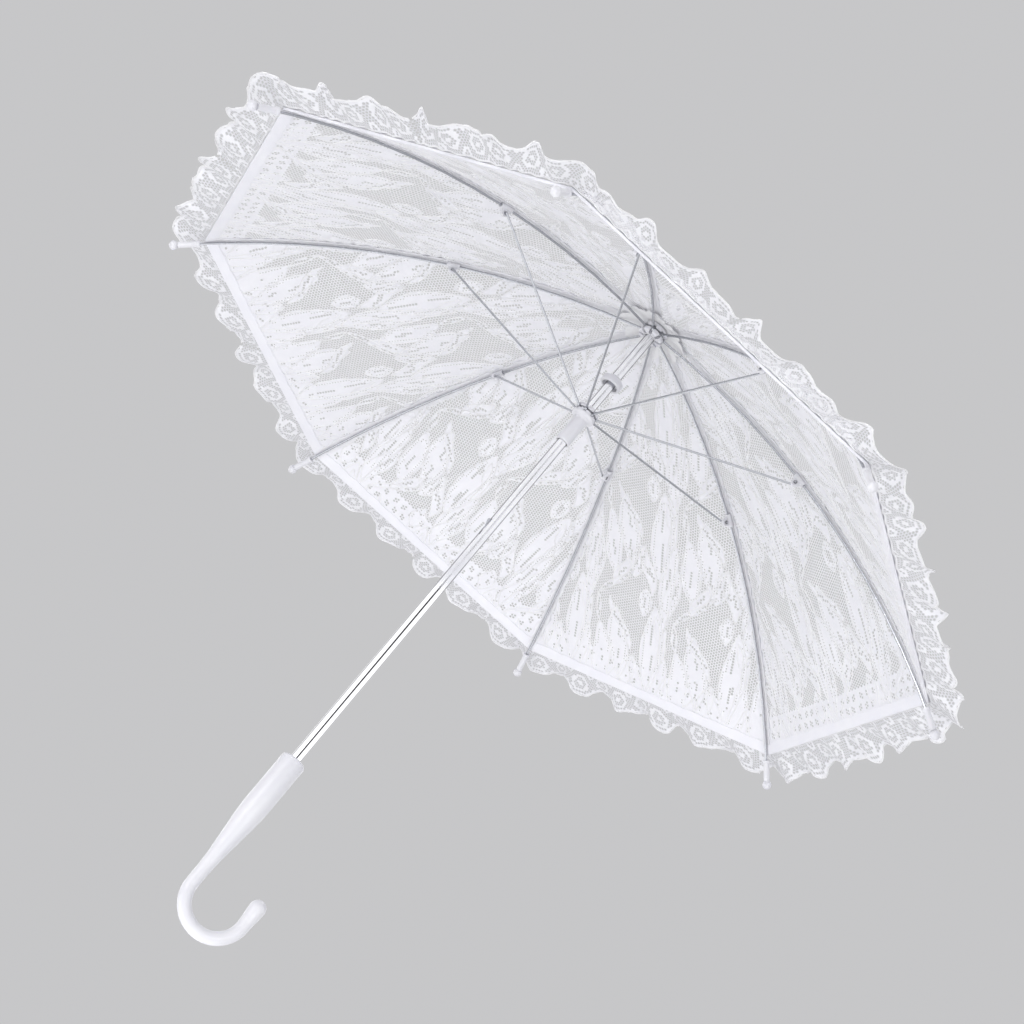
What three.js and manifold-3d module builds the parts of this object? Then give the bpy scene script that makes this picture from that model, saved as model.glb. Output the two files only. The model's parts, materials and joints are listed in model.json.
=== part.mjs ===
// Lace parasol: a tube shaft with a crook handle, eight folding wire ribs, and a lace canopy.
// Millimetres, +Z up along the shaft. The origin is where a hand holds the grip.
// +X is the side that the crook opens to.
import * as THREE from 'three';
import Module from 'manifold-3d';

// ---- driving dimensions ----
const rib_count = 8;
const fit_gap = 0.3; // between pieces that touch or are glued
const run_gap = 0.35; // between pieces that slide on each other

const shaft_diameter = 7.5;
const shaft_wall = 0.8;
const shaft_exposed = 403; // handle's top to the notch's pivots
const shaft_in_handle = 50;
const shaft_above_notch = 20;

const grip_length = 100; // straight part of the handle
const grip_hold = 40; // handle's top to the middle of the hand
const grip_diameter = 17.3;
const grip_full_length = 35; // before the taper starts
const crook_diameter = 9.0;
const crook_radius = 20.8; // centreline
const crook_tail = 19.5; // straight end after the half turn
const crook_end_diameter = 11;

const ring_wire = 1.0; // the ring that the ribs or stretchers hinge on
const eye_wall = 1.1; // round the ring's hole in a wire's flattened end
const eye_thickness = 1.5;
const slot_gap = 0.25; // on each side of a wire in its slot
const core_wall = 0.75; // between the shaft's bore and the slots
const notch_flange = 2.5; // beyond the pivots
const notch_above = 5; // pivot to the notch's top
const notch_below = 4;
const crown_flange = 1.7; // beyond the runner's pivots
const crown_half_height = 4;
const sleeve_wall = 1.3;
const runner_below = 28; // pivot to the sleeve's lower end

const rib_wire = 1.8;
const rib_length = 351; // along the curve, tip included
const rib_bend_radius = 584;
const rib_start_angle = THREE.MathUtils.degToRad(7.92); // below the horizontal, at the notch
const joint_along = 145.4; // notch to the stretcher bracket, along the rib
const joint_drop = 4; // rib's centreline to the stretcher's hole

const stretcher_wire = 1.6;
const bracket_length = 9.5;
const bracket_wall = 1.1; // round the rib
const lug_thickness = 2.6;
const lug_wall = 1.6; // round the stretcher's pin

const cap_length = 22;
const cap_wall = 1.1; // round the rib
const cap_ball = 7;
const wire_short_of_tip = 7;

const collar_below_notch = 50;
const collar_wall = 2; // round the cup
const collar_height = 7;
const collar_cup_depth = 3;
const collar_cup_width = 2.25; // from the shaft to the cup's wall

const catch_thickness = 1.5;
const catch_height = 13;
const catch_reach = 1.6; // how far it stands out of the tube
const catch_slot_above = 0.9; // room for the catch to tip inwards
const lower_catch_below_notch = 190;
const upper_catch_azimuth = 80;
const lower_catch_azimuth = 200;

const rosette_radius = 27;
const rosette_thickness = 0.5;
const canopy_thickness = 1.0;
const canopy_clear = 0.5; // stretcher brackets to the canopy's underside
const canopy_hole_gap = 1.45; // from the shaft to the cloth
const canopy_short_of_cap = 2;
const canopy_sag = 7; // how far a gore's middle hangs below its ribs, at its deepest
const crown_cap_overlap = 6.8; // beyond the canopy's hole
const crown_cap_height = 3.4;
const ferrule_length = 24;
const ferrule_wall = 1.2;
const ferrule_tip = 6.4;

const ruffle_heading = 6; // sewn over the canopy's hem
const ruffle_reach = 32; // beyond the hem
const ruffle_rise = 4;
const ruffle_thickness = 1.0;
const ruffle_waves = 6; // per gore
const ruffle_wave_height = 3;

// ---- derived places ----
const handle_top = grip_hold;
const notch_z = handle_top + shaft_exposed;
const crook_z = handle_top - grip_length;
const shaft_radius = shaft_diameter / 2;
const half_step = Math.PI / rib_count;
const eye_hole = ring_wire + 2 * fit_gap;
const eye_diameter = eye_hole + 2 * eye_wall;
const pivot_radius = shaft_radius + core_wall + 2 * fit_gap + eye_diameter / 2;
const slot_width = Math.max(rib_wire, stretcher_wire, eye_thickness) + 2 * slot_gap;
const groove_height = ring_wire + 2 * run_gap;
const notch_radius = pivot_radius + notch_flange;
const crown_radius = pivot_radius + crown_flange;
const canopy_hole = shaft_radius + canopy_hole_gap;
const cap_start = rib_length - cap_length;
const rim_along = cap_start - canopy_short_of_cap;

// ---- finishes ----
const finish = (color, roughness, metalness = 0) => ({ color, roughness, metalness });
const chrome = finish(0xd8dade, 0.16, 1);
const steel_wire = finish(0xb9bbc0, 0.3, 1);
const white_plastic = finish(0xf3f3f5, 0.42);
const lace_white = finish(0xf1f1f6, 0.85);

// ---- Manifold ----
const manifold_lib = await Module();
manifold_lib.setup();
const { Manifold, Mesh: ManifoldMesh } = manifold_lib;

function solidOf(geometry) {
  const flat = geometry.index ? geometry.toNonIndexed() : geometry;
  const at = flat.attributes.position;
  const seen = new Map();
  const points = [];
  const corners = [];
  for (let i = 0; i < at.count; i += 1) {
    const point = [at.getX(i), at.getY(i), at.getZ(i)];
    const key = point.map((v) => Math.round(v * 1e5)).join(',');
    if (!seen.has(key)) {
      seen.set(key, points.length / 3);
      points.push(...point);
    }
    corners.push(seen.get(key));
  }
  const triangles = [];
  for (let i = 0; i < corners.length; i += 3) {
    const [a, b, c] = corners.slice(i, i + 3);
    if (a !== b && b !== c && c !== a) triangles.push(a, b, c);
  }
  return new Manifold(new ManifoldMesh({
    numProp: 3,
    vertProperties: new Float32Array(points),
    triVerts: new Uint32Array(triangles),
  }));
}

function geometryOf(solid) {
  const mesh = solid.getMesh();
  const geometry = new THREE.BufferGeometry();
  const points = new Float32Array(mesh.vertProperties);
  geometry.setAttribute('position', new THREE.BufferAttribute(points, 3));
  geometry.setIndex(new THREE.BufferAttribute(new Uint32Array(mesh.triVerts), 1));
  return geometry;
}

const join = (...pieces) => pieces.map(solidOf).reduce((all, piece) => all.add(piece));
const cut = (solid, ...tools) => tools.map(solidOf).reduce((left, tool) => left.subtract(tool), solid);

// ---- basic shapes ----
const point = (x, y, z) => new THREE.Vector3(x, y, z);
const moved = (geometry, x, y, z) => geometry.translate(x, y, z);

/** A turned shape about Z, from [radius, z] pairs. */
function turned(profile, segments = 36) {
  const outline = profile.map(([radius, z]) => new THREE.Vector2(radius, z));
  return new THREE.LatheGeometry(outline, segments).rotateX(Math.PI / 2);
}

/** A turned ring: its profile closes on itself. */
const turnedRing = (profile, segments = 36) => turned([...profile, profile[0]], segments);

/** A straight round rod between two points. */
function rod(from, to, diameter, sides = 8) {
  const along = to.clone().sub(from);
  const geometry = new THREE.CylinderGeometry(diameter / 2, diameter / 2, along.length(), sides);
  const turn = new THREE.Quaternion().setFromUnitVectors(point(0, 1, 0), along.clone().normalize());
  const middle = from.clone().add(to).multiplyScalar(0.5);
  return geometry.applyQuaternion(turn).translate(middle.x, middle.y, middle.z);
}

/** A tube along a curve. */
function tube(curve, diameter, steps, sides = 8) {
  const section = new THREE.Shape();
  section.absarc(0, 0, diameter / 2, 0, Math.PI * 2);
  const options = { extrudePath: curve, steps, curveSegments: sides / 2, bevelEnabled: false };
  return new THREE.ExtrudeGeometry(section, options);
}

/** A plate in the XZ plane, centred on y = 0, from an outline of [x, z] pairs or a Shape. */
function plate(outline, thickness, curveSegments = 8) {
  const shape = outline instanceof THREE.Shape
    ? outline
    : new THREE.Shape(outline.map(([x, z]) => new THREE.Vector2(x, z)));
  const options = { depth: thickness, bevelEnabled: false, curveSegments };
  return new THREE.ExtrudeGeometry(shape, options)
    .translate(0, 0, -thickness / 2)
    .rotateX(Math.PI / 2);
}

/** An octagonal wire ring whose straight sides face the ribs. */
const pivotRing = (radius) => new THREE.TorusGeometry(
  radius / Math.cos(half_step), ring_wire / 2, 8, rib_count,
);

/** A box bent by a map from (across, along, through), each -0.5 to 0.5, to a point. */
function bentBox(across, along, map) {
  const geometry = new THREE.BoxGeometry(1, 1, 1, across, along, 1);
  const at = geometry.attributes.position;
  for (let i = 0; i < at.count; i += 1) {
    const place = map(at.getX(i), at.getY(i), at.getZ(i));
    at.setXYZ(i, place.x, place.y, place.z);
  }
  return geometry;
}

// ---- the rib's curve, in the XZ plane ----
const ribAngle = (along) => rib_start_angle + along / rib_bend_radius;

function ribPoint(along, lift = 0) {
  const angle = ribAngle(along);
  const reach = rib_bend_radius * (Math.sin(angle) - Math.sin(rib_start_angle));
  const fall = rib_bend_radius * (Math.cos(rib_start_angle) - Math.cos(angle));
  return point(
    pivot_radius + reach + lift * Math.sin(angle),
    0,
    notch_z - fall + lift * Math.cos(angle),
  );
}

class RibCurve extends THREE.Curve {
  constructor(from, to) {
    super();
    this.from = from;
    this.to = to;
  }

  getPoint(share) {
    return ribPoint(this.from + share * (this.to - this.from));
  }
}

const joint = ribPoint(joint_along, -joint_drop);
const runner_z = 2 * joint.z - notch_z; // the stretcher mirrors the rib's inner arm
const runner_pivot = point(pivot_radius, 0, runner_z);
const tip = ribPoint(rib_length);

// ---- shaft ----
function catchSlot(top_z, azimuth) {
  const width = catch_thickness + 2 * fit_gap;
  const height = catch_height + catch_slot_above;
  return new THREE.BoxGeometry(shaft_diameter, width, height)
    .translate(shaft_radius + 1, 0, top_z + catch_slot_above - height / 2)
    .rotateZ(THREE.MathUtils.degToRad(azimuth));
}

const upper_catch_top = runner_z - runner_below - fit_gap;
const lower_catch_top = notch_z - lower_catch_below_notch;
const shaft_bottom = handle_top - shaft_in_handle;
const shaft_top = notch_z + shaft_above_notch;

function makeShaft() {
  const inner = shaft_radius - shaft_wall;
  const tubeBody = turnedRing([
    [inner, shaft_bottom],
    [shaft_radius, shaft_bottom],
    [shaft_radius, shaft_top],
    [inner, shaft_top],
  ]);
  return geometryOf(cut(
    solidOf(tubeBody),
    catchSlot(upper_catch_top, upper_catch_azimuth),
    catchSlot(lower_catch_top, lower_catch_azimuth),
  ));
}

// ---- handle ----
function makeHandle() {
  const grip_radius = grip_diameter / 2;
  const crook_half = crook_diameter / 2;
  const taper_top = handle_top - grip_full_length;
  const taper = (share) => [
    THREE.MathUtils.lerp(grip_radius, crook_half, THREE.MathUtils.smoothstep(share, 0, 1)),
    THREE.MathUtils.lerp(taper_top, crook_z + 8, share),
  ];
  const grip = turned([
    [0, crook_z - 0.5],
    [crook_half, crook_z - 0.5],
    ...[1, 0.8, 0.6, 0.4, 0.2, 0].map(taper),
    [grip_radius, handle_top - 2],
    [grip_radius - 0.6, handle_top - 0.6],
    [grip_radius - 2, handle_top],
    [0, handle_top],
  ], 28);
  const bend = new THREE.Path().absarc(0, 0, crook_radius, Math.PI, 2 * Math.PI);
  const bendPoints = bend.getSpacedPoints(16);
  const curve = new THREE.CatmullRomCurve3(
    bendPoints.map(({ x, y }) => point(crook_radius + x, 0, crook_z + y)),
  );
  const crook = tube(curve, crook_diameter, 16, 20);
  const end = crook_end_diameter / 2;
  const tail = turned([
    [0, -0.5],
    [crook_half, -0.5],
    [crook_half, 2],
    [end, crook_tail - 7],
    [end, crook_tail - 4],
    [end * 0.8, crook_tail - 1.4],
    [end * 0.45, crook_tail - 0.3],
    [0, crook_tail],
  ], 20).translate(2 * crook_radius, 0, crook_z);
  const bore = rod(
    point(0, 0, shaft_bottom - fit_gap),
    point(0, 0, handle_top + 5),
    shaft_diameter + 2 * fit_gap,
    24,
  );
  return geometryOf(cut(join(grip, crook, tail), bore));
}

// ---- notch, runner and stop collar ----
function spokeSlots(inner, low, high) {
  return Array.from({ length: rib_count }, (_, k) => {
    const length = 2 * notch_radius;
    const slot = new THREE.BoxGeometry(length, slot_width, high - low);
    return slot
      .translate(inner + length / 2, 0, (low + high) / 2)
      .rotateZ(ribAzimuth(k));
  });
}

function ribAzimuth(k) {
  return (2 * k + 1) * half_step;
}

const slot_inner = pivot_radius - eye_diameter / 2 - fit_gap;
const groove_inner = pivot_radius - ring_wire / 2 - fit_gap;
const slot_close = eye_diameter / 2 + fit_gap;

function makeNotch() {
  const bore = shaft_radius + fit_gap;
  const outer = notch_radius;
  const half = groove_height / 2;
  const body = turnedRing([
    [bore, -notch_below],
    [outer - 0.8, -notch_below],
    [outer, -notch_below + 0.8],
    [outer, -half],
    [groove_inner, -half],
    [groove_inner, half],
    [outer, half],
    [outer, notch_above - 0.8],
    [outer - 0.8, notch_above],
    [bore, notch_above],
  ]);
  const slots = spokeSlots(slot_inner, -notch_below - 1, slot_close);
  return geometryOf(cut(solidOf(body), ...slots));
}

function makeRunner() {
  const bore = shaft_radius + run_gap;
  const outer = crown_radius;
  const sleeve = bore + sleeve_wall;
  const half = groove_height / 2;
  const body = turnedRing([
    [bore, -runner_below],
    [sleeve - 0.5, -runner_below],
    [sleeve, -runner_below + 0.5],
    [sleeve, -crown_half_height - 2.5],
    [sleeve + 0.7, -crown_half_height - 1.2],
    [outer - 0.6, -crown_half_height],
    [outer, -crown_half_height + 0.6],
    [outer, -half],
    [groove_inner, -half],
    [groove_inner, half],
    [outer, half],
    [outer, crown_half_height - 0.6],
    [outer - 0.6, crown_half_height],
    [bore, crown_half_height],
  ]);
  const slots = spokeSlots(slot_inner, -slot_close, crown_half_height + 1);
  return geometryOf(cut(solidOf(body), ...slots));
}

function makeStopCollar() {
  const bore = shaft_radius + fit_gap;
  const cup = shaft_radius + collar_cup_width;
  const outer = cup + collar_wall;
  const half = collar_height / 2;
  return turnedRing([
    [bore, -half + collar_cup_depth],
    [cup, -half + collar_cup_depth],
    [cup, -half],
    [outer - 0.5, -half],
    [outer, -half + 0.5],
    [outer, half - 2.4],
    [outer - 2.2, half - 0.6],
    [shaft_radius + 1.6, half],
    [bore, half],
  ]);
}

// ---- spring catches ----
const catch_pivot = point(1.6, 0, -catch_height + 0.6);

function makeCatch() {
  const outer = shaft_radius + catch_reach;
  const inside = shaft_radius - shaft_wall - fit_gap;
  const low = -catch_height - 0.6;
  return plate([
    [0.8, low],
    [inside - 0.3, low],
    [inside, -catch_height + 3],
    [outer, -0.7],
    [outer - 0.2, 0],
    [inside - 0.25, 0],
  ], catch_thickness);
}

// ---- rib, bracket, stretcher and tip cap ----
const eyeAt = (centre, diameter, thickness) => rod(
  point(centre.x, -thickness / 2, centre.z),
  point(centre.x, thickness / 2, centre.z),
  diameter,
  12,
);

function makeRib() {
  const pivot = ribPoint(0);
  const wire = tube(new RibCurve(1.2, rib_length - wire_short_of_tip), rib_wire, 12);
  const eye = eyeAt(pivot, eye_diameter, eye_thickness);
  const hole = eyeAt(pivot, eye_hole, 2 * eye_thickness);
  return geometryOf(cut(join(wire, eye), hole));
}

const bracket_radius = rib_wire / 2 + fit_gap + bracket_wall;

function makeBracket() {
  const place = ribPoint(joint_along);
  const angle = ribAngle(joint_along);
  const half = bracket_length / 2;
  const pinHole = stretcher_wire + 2 * fit_gap;
  const sleeve = rod(point(-half, 0, 0), point(half, 0, 0), 2 * bracket_radius, 10);
  const lug_radius = pinHole / 2 + lug_wall;
  const lugShape = new THREE.Shape();
  lugShape.moveTo(half - 0.8, 0);
  lugShape.lineTo(-half + 0.8, 0);
  lugShape.lineTo(-lug_radius, -joint_drop);
  lugShape.absarc(0, -joint_drop, lug_radius, Math.PI, 2 * Math.PI);
  const lug = plate(lugShape, lug_thickness, 4);
  const wireBore = rod(point(-20, 0, 0), point(20, 0, 0), rib_wire + 2 * fit_gap, 10);
  const pinBore = eyeAt(point(0, 0, -joint_drop), pinHole, 12);
  const solid = cut(join(sleeve, lug), wireBore, pinBore);
  return geometryOf(solid)
    .rotateY(angle)
    .translate(place.x, 0, place.z);
}

const stretcher_side = lug_thickness / 2 + run_gap + stretcher_wire / 2;

function makeStretcher() {
  const corner = point(joint.x, stretcher_side, joint.z);
  const pinEnd = point(joint.x, -stretcher_side + 0.2, joint.z);
  const toRunner = runner_pivot.clone().sub(corner).normalize();
  const start = runner_pivot.clone().addScaledVector(toRunner, -1.1);
  const bend = new THREE.IcosahedronGeometry(stretcher_wire / 2, 0);
  const eye = eyeAt(runner_pivot, eye_diameter, eye_thickness);
  const hole = eyeAt(runner_pivot, eye_hole, 2 * eye_thickness);
  const wire = join(
    rod(start, corner, stretcher_wire),
    moved(bend, corner.x, corner.y, corner.z),
    rod(corner, pinEnd, stretcher_wire),
    eye,
  );
  return geometryOf(cut(wire, hole));
}

function makeTipCap() {
  const bore = rib_wire / 2 + fit_gap;
  const outer = bore + cap_wall;
  const ball = cap_ball / 2;
  const neck = cap_length - cap_ball;
  const dome = [-0.9, -0.45, 0, 0.45, 0.9].map((share) => [
    ball * Math.cos(Math.asin(share)),
    neck + ball * (1 + share),
  ]);
  const bottom = cap_length - wire_short_of_tip + fit_gap;
  return turned([
    [0, bottom],
    [bore, bottom],
    [bore, 0],
    [outer + 0.5, 0],
    [outer + 0.5, 1.6],
    [outer, 2.4],
    [outer, neck + 0.6],
    ...dome,
    [0, cap_length],
  ], 12);
}

function placeTipCap(geometry) {
  const base = ribPoint(cap_start);
  const along = ribPoint(cap_start + cap_length / 2).sub(base).normalize();
  const turn = new THREE.Quaternion().setFromUnitVectors(point(0, 0, 1), along);
  return geometry.applyQuaternion(turn).translate(base.x, 0, base.z);
}

// ---- rosette, canopy and ruffle ----
const canopy_base = bracket_radius + canopy_clear;
const canopy_settled = rosette_radius + 31; // radius where the canopy comes down to the ribs
const canopy_rows = 12;

/** How far the canopy's underside lies above the rib's centreline. */
function canopyLift(radius) {
  const overNotch = notch_above + rosette_thickness + 4 * fit_gap;
  const settled = THREE.MathUtils.smoothstep(radius, notch_radius - 0.5, canopy_settled);
  return overNotch + (canopy_base - overNotch) * settled;
}

/** A point on the canopy: angle from the rib, distance along the rib, height above the underside. */
function canopyPoint(turn, along, height) {
  const slope = Math.max(along, 0);
  const base = ribPoint(slope);
  const radius = base.x + along - slope;
  const angle = ribAngle(slope);
  const toMiddle = Math.abs(turn) / half_step;
  const chord = Math.cos(half_step) / Math.cos(half_step - Math.abs(turn));
  const share = slope / rim_along;
  const sag = canopy_sag * 6.75 * share ** 2 * (1 - share) * toMiddle * (2 - toMiddle);
  const up = canopyLift(radius) - sag + height;
  const reach = (radius + height * Math.sin(angle)) * chord;
  return point(reach * Math.cos(turn), reach * Math.sin(turn), base.z + up);
}

const gore_turn = (radius) => half_step - fit_gap / 2 / radius;

/** Where a row of the canopy lies along the rib: four over the notch and rosette, the rest evenly. */
function canopyRow(row) {
  const inner = [canopy_hole, notch_radius + 0.5, rosette_radius, canopy_settled];
  if (row < inner.length) return inner[row] - pivot_radius;
  if (row === canopy_rows) return rim_along;
  const first = canopy_settled - pivot_radius;
  const last = rim_along - ruffle_heading;
  return first + (last - first) * (row - inner.length + 1) / (canopy_rows - inner.length);
}

function makeCanopyPanel() {
  return bentBox(4, canopy_rows, (across, along, through) => {
    const place = canopyRow(Math.round((along + 0.5) * canopy_rows));
    const radius = Math.max(canopy_hole, place * 0.9);
    const turn = -2 * across * gore_turn(radius);
    return canopyPoint(turn, place, (through + 0.5) * canopy_thickness);
  });
}

function makeRuffle() {
  const length = ruffle_heading + ruffle_reach;
  const heading_share = ruffle_heading / length;
  const base_height = canopy_thickness + fit_gap;
  return bentBox(18, 3, (across, along, through) => {
    const share = along + 0.5;
    const turn = -2 * across * gore_turn(tip.x);
    const height = base_height + (through + 0.5) * ruffle_thickness;
    const sewn = Math.min(share / heading_share, 1);
    const place = canopyPoint(turn, rim_along - ruffle_heading * (1 - sewn), height);
    const free = Math.max(share - heading_share, 0) / (1 - heading_share);
    const wave = Math.sin(turn / half_step * Math.PI * ruffle_waves);
    const out = 1 + free * ruffle_reach / Math.hypot(place.x, place.y);
    const rise = ruffle_rise * free + free * ruffle_wave_height * (1 + wave);
    return point(place.x * out, place.y * out, place.z + rise);
  });
}

function makeRosette() {
  const hole = canopy_hole;
  const flat = notch_radius + 0.5;
  const top = notch_above + fit_gap;
  const rim = ribPoint(rosette_radius - pivot_radius).z - notch_z + rib_wire / 2 + 2 * fit_gap;
  return turnedRing([
    [hole, top],
    [flat, top],
    [rosette_radius, rim],
    [rosette_radius, rim + rosette_thickness],
    [flat, top + rosette_thickness],
    [hole, top + rosette_thickness],
  ]);
}

// ---- crown cap and ferrule ----
const crown_cap_z = canopyLift(0) + canopy_thickness + fit_gap;

function makeCrownCap() {
  const bore = shaft_radius + fit_gap;
  const outer = canopy_hole + crown_cap_overlap;
  return turnedRing([
    [bore, crown_cap_z],
    [outer - 0.6, crown_cap_z],
    [outer, crown_cap_z + 0.7],
    [outer * 0.8, crown_cap_z + 0.68 * crown_cap_height],
    [outer * 0.55, crown_cap_z + crown_cap_height],
    [bore, crown_cap_z + crown_cap_height],
  ]);
}

function makeFerrule() {
  const bore = shaft_radius + fit_gap;
  const low = crown_cap_z + crown_cap_height + fit_gap;
  const high = low + ferrule_length;
  const outer = bore + ferrule_wall;
  const end = ferrule_tip / 2;
  return turned([
    [0, shaft_above_notch + fit_gap],
    [bore, shaft_above_notch + fit_gap],
    [bore, low],
    [outer, low],
    [outer, low + 2],
    [outer - 0.5, low + 2.6],
    [end + 0.7, high - 4],
    [end + 0.6, high - 0.8],
    [end, high],
    [0, high],
  ]);
}

// ---- assembly ----
const group = new THREE.Group();
group.name = 'lace_parasol';

function add(name, geometry, look, parent = group, z = 0) {
  const mesh = new THREE.Mesh(geometry, new THREE.MeshStandardMaterial(look));
  mesh.name = name;
  mesh.position.z = z;
  parent.add(mesh);
}

add('shaft', makeShaft(), chrome);
add('handle', makeHandle(), white_plastic);
add('notch', makeNotch(), white_plastic, group, notch_z);
add('notch_wire', pivotRing(pivot_radius), steel_wire, group, notch_z);
add('stop_collar', makeStopCollar(), white_plastic, group, notch_z - collar_below_notch);
add('runner', makeRunner(), white_plastic, group, runner_z);
add('runner_wire', pivotRing(pivot_radius), steel_wire, group, runner_z);
add('rosette', makeRosette(), lace_white, group, notch_z);
add('crown_cap', makeCrownCap(), white_plastic, group, notch_z);
add('ferrule', makeFerrule(), white_plastic, group, notch_z);

for (const [name, top_z, azimuth] of [
  ['upper_catch', upper_catch_top, upper_catch_azimuth],
  ['lower_catch', lower_catch_top, lower_catch_azimuth],
]) {
  const side = new THREE.Group();
  side.rotation.z = THREE.MathUtils.degToRad(azimuth);
  group.add(side);
  add(name, makeCatch(), steel_wire, side, top_z);
}

for (let k = 0; k < rib_count; k += 1) {
  const spoke = new THREE.Group();
  spoke.rotation.z = ribAzimuth(k);
  group.add(spoke);
  const number = k + 1;
  add(`rib_${number}`, makeRib(), steel_wire, spoke);
  add(`bracket_${number}`, makeBracket(), white_plastic, spoke);
  add(`stretcher_${number}`, makeStretcher(), steel_wire, spoke);
  add(`tip_cap_${number}`, placeTipCap(makeTipCap()), white_plastic, spoke);
  add(`canopy_${number}`, makeCanopyPanel(), lace_white, spoke);
  add(`ruffle_${number}`, makeRuffle(), lace_white, spoke);
}

export default group;
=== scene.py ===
"""The looks of a lace parasol with a crook handle, in metres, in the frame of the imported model.

The fabric is real geometry: a hexagonal net with open cells, filled in where the woven leaves are,
and a raised cord round each leaf. Each gore of the canopy is split down its middle, so that half of
it moves with the rib on either side.
"""
import json
import math

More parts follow.
